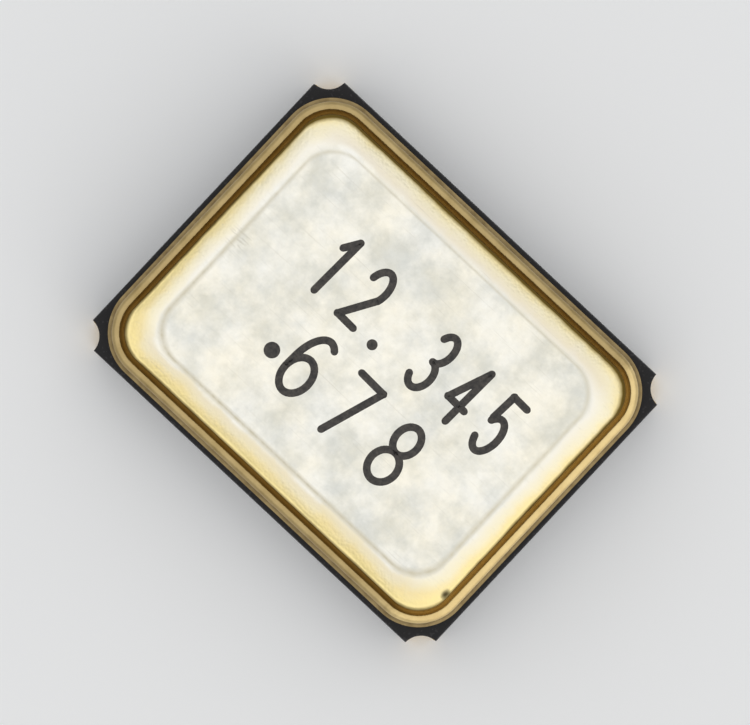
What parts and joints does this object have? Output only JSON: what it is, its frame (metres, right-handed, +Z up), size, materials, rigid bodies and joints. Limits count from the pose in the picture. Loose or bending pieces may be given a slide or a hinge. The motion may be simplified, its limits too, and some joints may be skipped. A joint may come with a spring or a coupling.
{
  "type": "crystal oscillator",
  "caption": "Surface-mount crystal oscillator: ceramic package with gold-plated corner terminals and seal ring, seam-welded lid, and a chip and quartz blank inside.",
  "frame": {"origin": "centre of the footprint, on the plane of the solder terminals", "axes": "+X along the long side, +Y along the short side, +Z up through the lid. Seen from above, terminal 1 is at the lower left and the count is anticlockwise."},
  "size_m": [0.0032, 0.0024, 0.001],
  "materials": {
    "black_ceramic": "matte",
    "gold_plating": "satin",
    "bright_gold": "polished",
    "nickel_plating": "satin",
    "tungsten": "matte",
    "silicon": "gloss",
    "silver_glue": "matte",
    "quartz": "polished"
  },
  "bodies": {
    "root": {"ceramic_base": "black_ceramic", "terminal_1_enable": "gold_plating", "terminal_2_ground": "gold_plating", "terminal_3_output": "gold_plating", "terminal_4_supply": "gold_plating", "enable_lead": "gold_plating", "ground_lead": "gold_plating", "output_lead": "gold_plating", "supply_lead": "gold_plating", "quartz_lead_front": "gold_plating", "quartz_lead_back": "gold_plating", "lid_ground_via": "tungsten", "rim_metal": "gold_plating", "braze_joint": "gold_plating", "seal_ring": "gold_plating", "lid": "nickel_plating", "oscillator_chip": "silicon", "chip_bumps": "bright_gold", "glue_dot_front": "silver_glue", "glue_dot_back": "silver_glue", "quartz_blank": "quartz", "electrode_top": "bright_gold", "electrode_bottom": "bright_gold", "rest_pad": "black_ceramic"}
  },
  "joints": []
}
